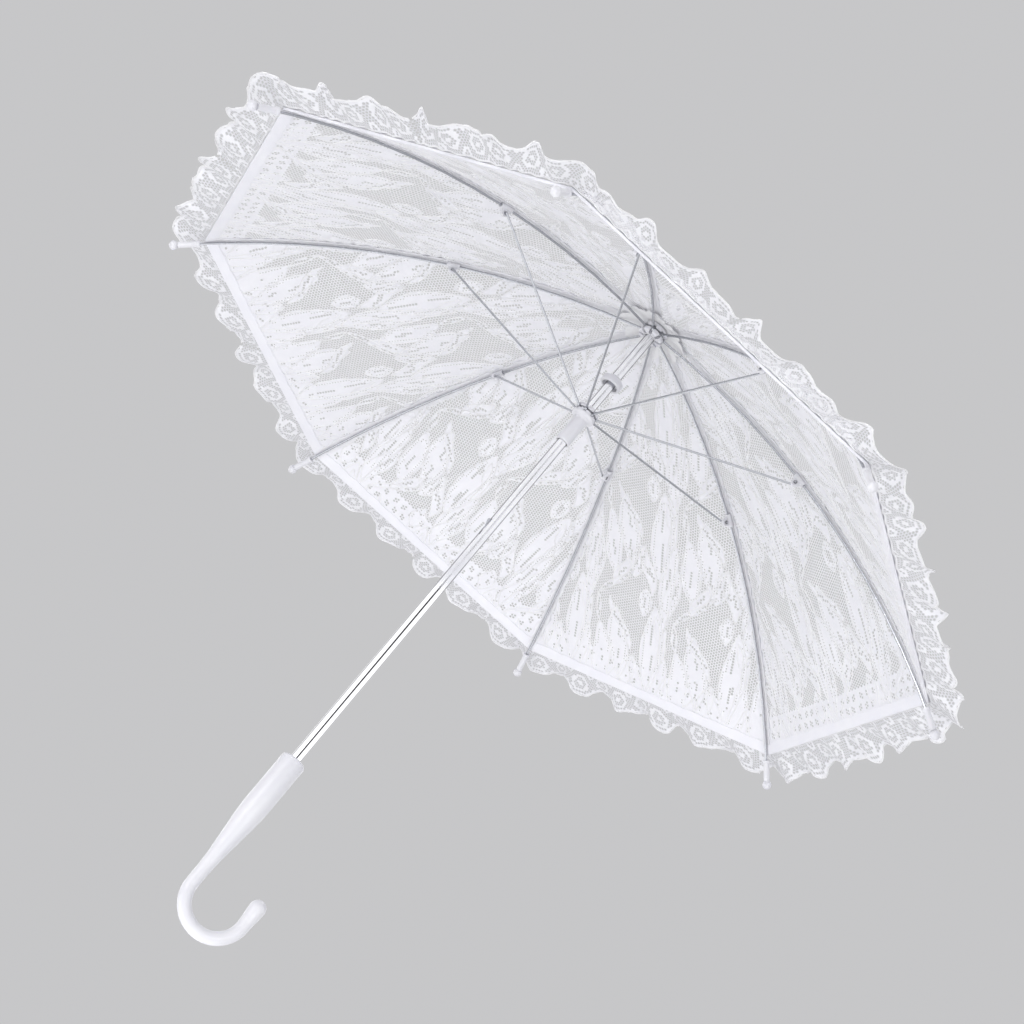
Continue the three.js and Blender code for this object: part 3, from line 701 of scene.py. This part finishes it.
def make_stage():
    look = Look("floor", (0.80, 0.80, 0.81), 0.8)
    look.colors(look.noise(3, 2), (0.79, 0.79, 0.80), (0.81, 0.81, 0.82))
    sides = 96
    around = angles_round(sides)
    edge = np.stack([FLOOR_RADIUS * np.cos(around), FLOOR_RADIUS * np.sin(around),
                     np.full(sides, FLOOR_Z)], 1)
    floor = make_object("floor", edge, [np.arange(sides)[None, :]], [look.material])
    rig.stage(floor)
    area_light("key", (-1.50, -1.25, 0.30), (0, 0, 0.25), 1.0, 3.5, spread=90)
    area_light("floor_fill", (-0.05, -0.30, -0.44), (-0.05, -0.2999, 0.40), 1.5, 6.3)
    area_light("front_fill", (0.5, -1.9, 0.0), (0, 0, 0.35), 0.62, 2.5, spread=90)
    area_light("overhead", (0.3, 0.4, 2.0), (0, 0, 0.40), 1.6, 9)
    area_light("back_fill", (-0.6, 1.9, 0.2), (0, 0, 0.30), 1.4, 5)


# ---- shaft and handle ----
def make_shaft():
    """A chromed tube with two slots for the catches."""
    wall = 0.8 * MM
    below_catch, above_catch, slot_half_width = 0.3 * MM, 0.9 * MM, 1.05 * MM
    sides = 96
    heights = [SHAFT_LOW[2]]
    slots = []
    for side in ("upper", "lower"):
        low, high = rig.box(f"{side}_catch")
        middle = ((low[0] + high[0]) / 2, (low[1] + high[1]) / 2)
        azimuth = math.atan2(middle[1], middle[0])
        slots.append((low[2] - below_catch, high[2] + above_catch, azimuth))
    for low, high, _ in sorted(slots):
        heights += [low, high]
    heights.append(SHAFT_HIGH[2])
    rows = np.array(heights)
    around = angles_round(sides)
    circle = np.stack([np.cos(around), np.sin(around)], -1)

    def cylinder(radius):
        flat = np.broadcast_to(circle * radius, (len(rows), sides, 2))
        z = np.broadcast_to(rows[:, None, None], (len(rows), sides, 1))
        return np.concatenate([flat, z], -1)

    missing = np.zeros((len(rows) - 1, sides), bool)
    centre = around + math.pi / sides
    for low, high, azimuth in slots:
        row = int(np.argmin(np.abs(rows - low)))
        off = np.abs((centre - azimuth + math.pi) % (2 * math.pi) - math.pi)
        missing[row] = off * SHAFT_RADIUS < slot_half_width
    shaft = thick_grid("shaft_tube", cylinder(SHAFT_RADIUS), cylinder(SHAFT_RADIUS - wall), CHROME,
                       missing, wrap=True)
    placed(shaft, "root", "chrome_tube", "shaft")


def make_handle():
    """Grip, taper, half-turn crook and rounded end in one smooth sweep."""
    grip, crook, end = 8.65 * MM, 4.5 * MM, 5.5 * MM
    straight, full, radius, tail = 100 * MM, 35 * MM, 20.8 * MM, 19.5 * MM
    edge, chamfer, thin_above_crook = 2 * MM, 0.4 * MM, 8 * MM
    top = HANDLE_TOP
    crook_z = top - straight
    socket_z = SHAFT_LOW[2] - 0.3 * MM
    down, up = (0, 0, -1), (0, 0, 1)
    stations = [((0, 0, socket_z), down, 0), ((0, 0, socket_z), down, SHAFT_BORE)]
    stations.append(((0, 0, top - chamfer), down, SHAFT_BORE))
    stations.append(((0, 0, top), down, SHAFT_BORE + chamfer))
    for turn in np.linspace(0, math.pi / 2, 6):
        size = grip - edge + edge * math.sin(turn)
        stations.append(((0, 0, top - edge + edge * math.cos(turn)), down, size))
    for share in np.linspace(0, 1, 20)[1:]:
        size = grip + (crook - grip) * float(smoothstep(share, 0, 1))
        start = top - full
        stations.append(((0, 0, start + (crook_z + thin_above_crook - start) * share), down, size))
    for turn in np.linspace(math.pi, 0, 33):
        centre = (radius + radius * math.cos(turn), 0, crook_z - radius * math.sin(turn))
        stations.append((centre, (math.sin(turn), 0, math.cos(turn)), crook))
    tail_x = 2 * radius
    for share in np.linspace(0, 1, 9)[1:]:
        size = crook + (end - crook) * float(smoothstep(share, 0, 1))
        stations.append(((tail_x, 0, crook_z + (tail - end) * share), up, size))
    for turn in np.linspace(0, math.pi / 2, 8)[1:-1]:
        z = crook_z + tail - end + end * math.sin(turn)
        stations.append(((tail_x, 0, z), up, end * math.cos(turn)))
    stations.append(((tail_x, 0, crook_z + tail), up, 0))
    placed(rings("handle_crook", stations, PLASTIC, 48, 40), "root", "white_plastic", "handle")


def make_top():
    """Crown cap and ferrule."""
    gap, chamfer = 0.3 * MM, 0.3 * MM
    low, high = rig.box("crown_cap")
    outer, cap_top = high[0], high[2]
    foot = low[2] + 0.5 * MM
    dome = [
        (SHAFT_BORE + (outer - SHAFT_BORE) * math.cos(turn), foot + (cap_top - foot) * math.sin(turn))
        for turn in np.linspace(0, math.pi / 2, 9)
    ]
    underside = [(SHAFT_BORE, low[2]), (outer - chamfer, low[2])]
    cap = turned_ring("crown_cap_dome", underside + dome, PLASTIC)
    placed(cap, "root", "white_plastic", "crown_cap")

    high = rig.box("ferrule")[1]
    radius, tip, end = high[0], high[2], 3.2 * MM
    start, socket_z = cap_top + gap, SHAFT_HIGH[2] + gap
    collar, neck, lip = start + 1.8 * MM, start + 2.5 * MM, tip - 4 * MM
    neck_radius, lip_radius = radius - 0.5 * MM, end + 0.7 * MM
    profile = [(0, socket_z), (SHAFT_BORE, socket_z), (SHAFT_BORE, start)]
    profile += [(radius - chamfer, start), (radius, start + chamfer), (radius, collar)]
    for share in np.linspace(0, 1, 9):
        size = neck_radius + (lip_radius - neck_radius) * share**0.8
        profile.append((size, neck + (lip - neck) * share))
    profile += [(end + 0.6 * MM, tip - 1 * MM), (end + 0.4 * MM, tip - 0.4 * MM), (end, tip), (0, tip)]
    placed(lathe("ferrule_turned", profile, PLASTIC), "root", "white_plastic", "ferrule")


# ---- lace pattern, in millimetres ----
def hex_net(low, high, keep):
    """A hexagonal net in the plane. keep says which cell centres stay. Gives the centres, the shared
    corners and each cell's six corner numbers. Corners that fall together have the same key."""
    keys_per_mm = 50
    rise = NET_PITCH * math.sqrt(3) / 2
    i = np.arange(math.floor(low[0] / NET_PITCH) - 1, math.ceil(high[0] / NET_PITCH) + 2)
    j = np.arange(math.floor(low[1] / rise) - 1, math.ceil(high[1] / rise) + 2)
    columns, rows = np.meshgrid(i, j, indexing="ij")
    centres = np.stack([(columns + (rows % 2) / 2) * NET_PITCH, rows * rise], -1).reshape(-1, 2)
    centres = centres[keep(centres)]
    turn = math.pi / 6 + np.arange(6) * math.pi / 3
    ring = np.stack([np.cos(turn), np.sin(turn)], 1) * NET_PITCH / math.sqrt(3)
    corners = (centres[:, None, :] + ring).reshape(-1, 2)
    keys = np.round(corners * keys_per_mm).astype(int)
    _, first, number = np.unique(keys, axis=0, return_index=True, return_inverse=True)
    return centres, corners[first], number.reshape(-1, 6)


class Leaf:
    """One woven leaf, placed on the cloth."""

    def __init__(self, start, end, half_width, bow, slits):
        self.start = np.asarray(start, float)
        run = np.asarray(end, float) - self.start
        self.length = np.linalg.norm(run)
        self.ahead = run / self.length
        self.side = np.array([-self.ahead[1], self.ahead[0]])
        self.half_width, self.bow, self.slits = half_width, bow, slits

    def width(self, share):
        return self.half_width * np.sin(math.pi * np.clip(share, 0, 1)) ** 0.8

    def centre(self, share):
        return self.bow * np.sin(2 * math.pi * share)

    def local(self, points):
        off = points - self.start
        share = off @ self.ahead / self.length
        return share, off @ self.side - self.centre(share)

    def covers(self, points):
        share, off = self.local(points)
        return (share > 0) & (share < 1) & (np.abs(off) < self.width(share))

    def inner_row(self, points):
        """Inside the outline of a wide leaf runs one row of small holes."""
        share, off = self.local(points)
        inset = self.width(share) - np.abs(off)
        wide = (share > ROW_ENDS) & (share < 1 - ROW_ENDS) & (self.half_width > ROW_HALF_WIDTH)
        return wide & (inset > ROW_INSET) & (inset < ROW_INSET + ROW_DEPTH)

    def slit(self, points):
        share, off = self.local(points)
        found = np.zeros(len(points), bool)
        for low, high, across in self.slits:
            found |= (share > low) & (share < high) & (np.abs(off - across) < SLIT_HALF_WIDTH)
        return found

    def outlines(self):
        count = max(4, int(self.length / CORD_STEP))
        share = np.linspace(0, 1, count + 1)
        middle = self.start + np.outer(share * self.length, self.ahead)
        for sign in (-1, 1):
            off = self.centre(share) + sign * self.width(share)
            yield middle + np.outer(off, self.side)


def leaves_over(low, high, shift):
    """Every leaf of the repeat that reaches into a rectangle of the cloth."""
    found = []
    for i in range(math.floor((low[0] - shift[0]) / REPEAT_ALONG) - 2,
                   math.ceil((high[0] - shift[0]) / REPEAT_ALONG) + 1):
        for j in range(math.floor((low[1] - shift[1]) / REPEAT_ACROSS) - 1,
                       math.ceil((high[1] - shift[1]) / REPEAT_ACROSS) + 1):
            place = np.array([shift[0] + i * REPEAT_ALONG, shift[1] + j * REPEAT_ACROSS])
            for start, end, half_width, bow, slits in LEAVES:
                found.append(Leaf(place + start, place + end, half_width, bow, slits))
    return found


def weave(centres, leaves):
    """The open share of each cell: 0 is filled."""
    hole = np.full(len(centres), NET_HOLE)
    for leaf in leaves:
        near = np.abs(centres - leaf.start - leaf.ahead * leaf.length / 2).max(1) < leaf.length
        index = np.nonzero(near)[0]
        inside = leaf.covers(centres[index])
        hole[index[inside]] = 0.0
        hole[index[leaf.inner_row(centres[index])]] = ROW_HOLE
        hole[index[inside & leaf.slit(centres[index])]] = SLIT_HOLE
    return hole


def net_faces(centres, corners, cells, hole, lift):
    """Points as (x, y, height) and faces for a net: rings of quads round holes, fans where filled."""
    is_open = hole > 0
    middles = centres[is_open, None, :]
    inner = middles + (corners[cells[is_open]] - middles) * hole[is_open, None, None]
    count, opened = len(corners), int(is_open.sum())
    inner_at = count + np.arange(opened * 6).reshape(-1, 6)
    outer = cells[is_open]
    quads = np.stack(
        [outer, np.roll(outer, -1, 1), np.roll(inner_at, -1, 1), inner_at], -1
    ).reshape(-1, 4)
    filled = ~is_open
    middle_at = count + opened * 6 + np.arange(int(filled.sum()))
    around = cells[filled]
    fans = np.stack(
        [around, np.roll(around, -1, 1), np.broadcast_to(middle_at[:, None], around.shape)], -1
    ).reshape(-1, 3)
    flat = np.concatenate([corners, inner.reshape(-1, 2), centres[filled]])
    height = np.zeros(len(flat))
    height[count + opened * 6:] = lift * rng.uniform(0.3, 1.0, int(filled.sum()))
    return flat, height, quads, fans


def cord_mesh(chain, width, relief):
    """A raised cord along a chain of points in the plane, diamond shaped across."""
    ahead = np.gradient(chain, axis=0)
    ahead = ahead / np.maximum(np.linalg.norm(ahead, axis=1, keepdims=True), 1e-9)
    side = np.stack([-ahead[:, 1], ahead[:, 0]], 1) * width / 2
    count = len(chain)
    flat = np.concatenate([chain + side, chain, chain - side, chain])
    height = np.concatenate([np.zeros(count), np.full(count, relief), np.zeros(count),
                             np.full(count, -relief)])
    step = np.arange(count - 1)
    quads = []
    for a in range(4):
        b = (a + 1) % 4
        quads.append(np.stack([a * count + step, b * count + step, b * count + step + 1,
                               a * count + step + 1], 1))
    ends = np.array([[3 * count, 2 * count, count, 0],
                     [count - 1, 2 * count - 1, 3 * count - 1, 4 * count - 1]])
    return flat, height, np.concatenate([*quads, ends])


def half_width_at(along_mm):
    radius, _ = rib_line(along_mm * MM)
    return radius * math.sin(HALF_STEP) / MM


def oval_holes(points):
    """Two rows of ovals inside the hem, the inner one moved along by nearly half a step."""
    first, second = OVAL_ROWS
    along_rim = points[:, 1] + 4 * (points[:, 0] > (first[0] + second[0]) / 2)
    at_oval = np.abs(along_rim % OVAL_STEP - OVAL_STEP / 2) < OVAL_HALF_LENGTH
    in_first = np.abs(points[:, 0] - first[0]) < first[1]
    return at_oval & (in_first | (np.abs(points[:, 0] - second[0]) < second[1]))


def gore_halves(shift):
    """The lace of one gore, as two halves. Each is a list: its net, and then its cords."""
    rim = RIM_ALONG / MM
    widest = half_width_at(rim)

    def in_gore(points):
        along = rim - points[:, 0]
        inside = (along > LACE_INNER) & (along < rim - 1.0)
        return inside & (np.abs(points[:, 1]) < half_width_at(np.maximum(along, 0)) + 0.6)

    leaves = leaves_over((0, -widest), (rim, widest), shift)
    centres, corners, cells = hex_net((0, -widest), (rim, widest), in_gore)
    hole = weave(centres, leaves)
    band = (centres[:, 0] < RIM_BAND) & (hole > 0)
    hole[band & ~oval_holes(centres)] = 0.0
    jitter = rng.uniform(-HOLE_JITTER, HOLE_JITTER, len(hole))
    hole = np.where(hole > 0, hole + jitter, hole)
    halves = []
    for side in (-1, 1):
        mine = np.sign(centres[:, 1] + 1e-6) == side
        used, number = np.unique(cells[mine], return_inverse=True)
        net = net_faces(centres[mine], corners[used], number.reshape(-1, 6), hole[mine], LEAF_LIFT)
        halves.append([net])
    for leaf in leaves:
        for line in leaf.outlines():
            middle = (line[1:] + line[:-1]) / 2
            state = np.where(in_gore(middle), np.sign(middle[:, 1] + 1e-6), 0)
            start = 0
            for i in range(1, len(state) + 1):
                if i == len(state) or state[i] != state[start]:
                    if state[start]:
                        half = halves[0 if state[start] < 0 else 1]
                        half.append(cord_mesh(line[start:i + 1], CORD_WIDTH, CORD_RELIEF))
                    start = i
    return halves


def on_gore(flat, height, side):
    """Puts a flat half gore on the canopy, about its rib. side is -1 for the half that follows the
    rib, and 1 for the half before it."""
    along = RIM_ALONG - flat[:, 0] * MM
    radius, _ = rib_line(np.maximum(along, 0))
    from_middle = np.arctan2(flat[:, 1] * MM, radius * math.cos(HALF_STEP))
    turn = HALF_STEP + from_middle if side < 0 else from_middle - HALF_STEP
    lift = CANOPY_THICKNESS / 2 + height * MM + wrinkles(np.maximum(along, 0), turn)
    return canopy(turn, along, lift)


def make_lace(k, after, before):
    """The lace that moves with rib k: the half gore after it and the half gore before it. Each face's
    look is its place among the materials: lace, net or cord."""
    points, quads, fans, looks_quads, looks_fans = [], [], [], [], []
    count = 0
    for half, side in ((after, -1), (before, 1)):
        flat, height, net, filled = half[0]
        points.append(on_gore(flat, height, side))
        quads.append(net + count)
        looks_quads.append(np.full(len(net), 1))
        fans.append(filled + count)
        looks_fans.append(np.zeros(len(filled)))
        count += len(flat)
        for flat, height, faces in half[1:]:
            points.append(on_gore(flat, height, side))
            quads.append(faces + count)
            looks_quads.append(np.full(len(faces), 2))
            count += len(flat)
    made = make_object(
        f"lace_panel_{k + 1}",
        turned_about_z(np.concatenate(points), rib_azimuth(k)),
        [np.concatenate(quads), np.concatenate(fans)],
        [LACE, NET, CORD_PAINTED_LIGHT],
        [np.concatenate(looks_quads), np.concatenate(looks_fans)],
        sharp=60,
    )
    return placed(made, f"rib_{k + 1}", "lace", f"canopy_{k + 1}")


def make_hem(k):
    """The folded hem along the rim, with a slightly uneven inner edge."""
    turn = np.linspace(-HALF_STEP, HALF_STEP, 61)
    share = np.linspace(0, 1, 5)
    rows = []
    for height in (CANOPY_THICKNESS + 0.15 * MM, -0.15 * MM):
        width = HEM_WIDTH + 0.35 * np.sin(turn * 90) + 0.25 * np.sin(turn * 213)
        along = RIM_ALONG + 0.3 * MM - np.outer(1 - share, width) * MM
        plump = 0.25 * MM * np.sin(math.pi * share)[:, None] * (1 if height > 0 else -1)
        ripple = 0.15 * MM * np.sin(turn * 160)[None, :] * (1 - share)[:, None]
        rows.append(canopy(np.broadcast_to(turn, along.shape), along, height + plump + ripple))
    hem = thick_grid(f"hem_{k + 1}", turned_about_z(rows[0], rib_azimuth(k)),
                     turned_about_z(rows[1], rib_azimuth(k)), HEM)
    return placed(hem, f"rib_{k + 1}", "lace_trim")


def make_seam(k):
    """The folded seam between two gores, gathered a little, under the canopy along its rib."""
    along = np.linspace(14 * MM, RIM_ALONG - 3 * MM, 130)
    across = np.linspace(-1, 1, 7)
    u = along / MM
    left = SEAM_HALF_WIDTH + 0.5 * np.sin(u * 0.45) + 0.4 * np.sin(u * 0.17 + 1)
    right = SEAM_HALF_WIDTH + 0.5 * np.sin(u * 0.39 + 2) + 0.4 * np.sin(u * 0.21)
    reach = np.where(across[None, :] < 0, left[:, None], right[:, None]) * across[None, :] * MM
    radius, _ = rib_line(along)
    turn = reach / radius[:, None]
    pucker = 0.22 * MM * np.sin(u * 1.1)[:, None] * np.abs(across)[None, :]
    rows = []
    for height in (0.25 * MM, -0.32 * MM):
        rows.append(canopy(turn, np.broadcast_to(along[:, None], turn.shape), height + pucker))
    seam = thick_grid(f"seam_{k + 1}", turned_about_z(rows[1], rib_azimuth(k)),
                      turned_about_z(rows[0], rib_azimuth(k)), SEAM_PAINTED_LIGHT)
    return placed(seam, f"rib_{k + 1}", "lace_trim")


# ---- ruffle ----
def ruffle_weave(centres, depth):
    """A net with a ring and its dot in each scallop, a small ring between them, and a filled edge
    and heading."""
    from_edge = depth - centres[:, 1]
    edge = SCALLOP_DEPTH * np.abs(np.sin(math.pi * centres[:, 0] / SCALLOP)) - SCALLOP_DEPTH
    ring_in, ring_radius, ring_half_width, dot_radius = 13.0, 7.5, 1.5, 2.4
    small_in, small_radius, small_half_width = 24, 3.2, 1.3
    ring = np.hypot(centres[:, 0] % SCALLOP - SCALLOP / 2, from_edge - ring_in)
    small = np.hypot((centres[:, 0] + SCALLOP / 2) % SCALLOP - SCALLOP / 2, from_edge - small_in)
    hole = np.full(len(centres), RUFFLE_HOLE)
    hole[np.abs(ring - ring_radius) < ring_half_width] = 0.0
    hole[ring < dot_radius] = 0.0
    hole[np.abs(small - small_radius) < small_half_width] = 0.0
    hole[from_edge + edge < EDGE_FILLED] = 0.0
    hole[centres[:, 1] < HEADING_FILLED] = 0.0
    return hole


def scalloped(places, depth):
    """Depth of the ruffle's edge at places along the flat strip."""
    return depth - SCALLOP_DEPTH + SCALLOP_DEPTH * np.abs(np.sin(math.pi * places / SCALLOP))


def on_ruffle(flat, height, length, depth):
    """Gathers the flat strip along the rim and lets its free edge wave."""
    share = flat[:, 0] / length
    turn = (2 * share - 1) * HALF_STEP
    heading = RUFFLE_HEADING / MM
    sewn = np.clip(flat[:, 1] / heading, 0, 1)
    free = np.clip((flat[:, 1] - heading) / (depth - heading), 0, None)
    gather = 0.35 * MM * np.sin(share * 38 * math.pi + 2 * np.sin(share * 6 * math.pi))
    up = CANOPY_THICKNESS + 0.9 * MM + height * MM + gather
    base = canopy(turn, RIM_ALONG - RUFFLE_HEADING * (1 - sewn), up)
    phase = share * 2 * math.pi * RUFFLE_WAVES + 0.4 * np.sin(share * 2 * math.pi * 2)
    swell = free**0.8
    wave = np.sin(phase) * RUFFLE_WAVE * swell + 0.5 * MM * np.sin(phase * 3 + 1) * swell
    out = free * RUFFLE_REACH * (1 - 0.10 * np.cos(phase * 1.5))
    radius = np.hypot(base[:, 0], base[:, 1])
    lean = 2.5 * MM * np.cos(phase) * free
    outward = base[:, :2] / radius[:, None]
    across = np.stack([-outward[:, 1], outward[:, 0]], 1)
    flat_place = base[:, :2] + outward * (out - 0.25 * wave)[:, None] + across * lean[:, None]
    rise = RUFFLE_RISE * free + wave + RUFFLE_WAVE * 0.4 * swell
    return np.concatenate([flat_place, (base[:, 2] + rise)[:, None]], 1)


def make_ruffle(k):
    rim_length = 2 * half_width_at(RIM_ALONG / MM)
    length = round(rim_length * RUFFLE_FULLNESS / SCALLOP) * SCALLOP
    depth = (RUFFLE_HEADING + RUFFLE_REACH) / MM

    def in_strip(points):
        along_strip, down = points[:, 0], points[:, 1]
        within = (along_strip > 0) & (along_strip < length)
        return within & (down > 0) & (down < scalloped(along_strip, depth))

    centres, corners, cells = hex_net((0, 0), (length, depth), in_strip)
    hole = ruffle_weave(centres, depth)
    used, number = np.unique(cells, return_inverse=True)
    flat, height, quads, fans = net_faces(centres, corners[used], number.reshape(-1, 6), hole, 0.25)
    points = [on_ruffle(flat, height, length, depth)]
    faces, count = [quads], len(flat)
    looks = [np.full(len(quads), 1)]
    strip = np.arange(0.5, length - 0.5, 2.0)
    for down in (scalloped(strip, depth), np.full(len(strip), HEADING_FILLED)):
        line = np.stack([strip, down], 1)
        flat, height, cord = cord_mesh(line, RUFFLE_CORD_WIDTH, RUFFLE_CORD_RELIEF)
        points.append(on_ruffle(flat, height, length, depth))
        faces.append(cord + count)
        looks.append(np.full(len(cord), 2))
        count += len(flat)
    made = make_object(
        f"ruffle_lace_{k + 1}",
        turned_about_z(np.concatenate(points), rib_azimuth(k)),
        [np.concatenate(faces), fans],
        [TRIM, NET_TRIM_PAINTED_SHADE, CORD_PAINTED_LIGHT],
        [np.concatenate(looks), np.zeros(len(fans))],
        sharp=60,
    )
    return placed(made, f"rib_{k + 1}", "lace_trim", f"ruffle_{k + 1}")


# ---- rosette ----
def make_petal(k):
    """One petal of the cloth rosette, lying over its rib between the notch and the canopy."""
    low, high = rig.box("rosette")
    outer = high[0]
    inner = SHAFT_RADIUS + 1.45 * MM
    share = np.linspace(0, 1, 15)
    side = np.linspace(-1, 1, 17)
    s, a = np.meshgrid(share, side, indexing="ij")
    reach = outer * (1 - 0.20 * np.abs(a) ** 2.6)
    radius = inner + (reach - inner) * s
    turn = a * (HALF_STEP - 0.004)
    flat_end = 10 * MM
    top = high[2] - 0.5 * MM
    rim = low[2]
    fall = smoothstep(radius, flat_end * 0.8, outer * 1.05)
    z = top + (rim - top) * np.clip((radius - flat_end) / (outer - flat_end), 0, 1)
    droop, ripple, raised, thickness = 0.5 * MM, 0.6 * MM, 0.35 * MM, 0.4 * MM
    z = z - droop * fall * np.abs(a) ** 2 + ripple * fall * np.cos(a * 9 + k) + raised * fall
    upper = np.stack([radius * np.cos(turn), radius * np.sin(turn), z + 0.45 * MM], -1)
    lower = upper - np.array([0, 0, thickness])
    azimuth = rib_azimuth(k)
    petal = thick_grid(f"rosette_petal_{k + 1}", turned_about_z(upper, azimuth),
                       turned_about_z(lower, azimuth), ROSETTE)
    return placed(petal, f"rib_{k + 1}", "rosette_cloth")


# ---- everything that repeats round the ribs ----
def fold_with(piece, k, keep):
    """Gathers a piece towards its rib as the rib folds."""
    azimuth = rib_azimuth(k)
    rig.squash(piece, f"rib_{k + 1}_fold", axis=(-math.sin(azimuth), math.cos(azimuth), 0),
              anchor=JOINTS[f"rib_{k + 1}_fold"]["pos_m"], keep=keep)


def make_pin(k):
    """The dark end of the stretcher's pin in its bracket."""
    joint = JOINTS[f"stretcher_{k + 1}_swing"]
    place = Vector(joint["pos_m"])
    across = Vector(joint["axis"])
    turn = Vector((0, 0, 1)).rotation_difference(across).to_matrix().to_4x4()
    radius, inner_end = 1.3 * MM, -1.4 * MM
    profile = [(0, -2.05 * MM), (radius * 0.8, -2.0 * MM), (radius, -1.75 * MM), (radius, inner_end),
               (0, inner_end)]
    pin = lathe(f"pin_{k + 1}", profile, PIN, Matrix.Translation(place) @ turn, 20, 40)
    placed(pin, f"rib_{k + 1}", "steel_wire")


def make_ribs():
    shifts = [(SHIFT + SHIFT_ALONG * (k % 2), SHIFT_ACROSS * (k % 3)) for k in range(RIBS)]
    half_gores = [gore_halves(shift) for shift in shifts]
    petals = []
    for k in range(RIBS):
        rib = f"rib_{k + 1}"
        finished(rib, rib, "steel_wire", STEEL, 0)
        finished(f"bracket_{k + 1}", rib, "white_plastic", PLASTIC)
        finished(f"tip_cap_{k + 1}", rib, "white_plastic", PLASTIC)
        finished(f"stretcher_{k + 1}", f"stretcher_{k + 1}", "steel_wire", STEEL, 0)
        make_pin(k)
        lace = make_lace(k, half_gores[k][0], half_gores[k - 1][1])
        hem, seam, ruffle = make_hem(k), make_seam(k), make_ruffle(k)
        petals.append(make_petal(k))
        for piece, keep in ((lace, 0.10), (hem, 0.10), (ruffle, 0.12)):
            fold_with(piece, k, keep)
        width = 2 * half_width_at(RIM_ALONG / MM) * MM
        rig.sheet(lace, flat=(width, RIM_ALONG), held="stretched", rests_on=[f"{rib}_shown"],
                 area=0.5 * width * RIM_ALONG, with_pieces=[hem, seam])
        depth = RUFFLE_HEADING + RUFFLE_REACH
        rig.sheet(ruffle, flat=(width * RUFFLE_FULLNESS, depth), held="gathered", rests_on=[hem])
    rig.replaces(petals[0], "rosette")
    for petal in petals:
        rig.sheet(petal, flat=(0.021, 0.022), held="laid", rests_on=["notch_shown"],
                 area=0.021 * 0.022 * 0.62)


bpy.context.scene.view_settings.view_transform = "Standard"
make_camera()
make_world()
make_stage()
make_shaft()
make_handle()
make_top()
finished("notch", "root", "white_plastic", PLASTIC)
finished("stop_collar", "root", "white_plastic", PLASTIC)
finished("runner", "runner", "white_plastic", PLASTIC)
finished("notch_wire", "root", "steel_wire", STEEL, 0)
finished("runner_wire", "runner", "steel_wire", STEEL, 0)
finished("upper_catch", "upper_catch", "steel_wire", STEEL, 0.1 * MM)
finished("lower_catch", "lower_catch", "steel_wire", STEEL, 0.1 * MM)
make_ribs()

visual_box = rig.bounds()
with open("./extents.json", "w") as out:
    sizes = {"cad": cad_box, "visual": visual_box}
    json.dump({key: [list(map(float, corner)) for corner in box] for key, box in sizes.items()}, out)
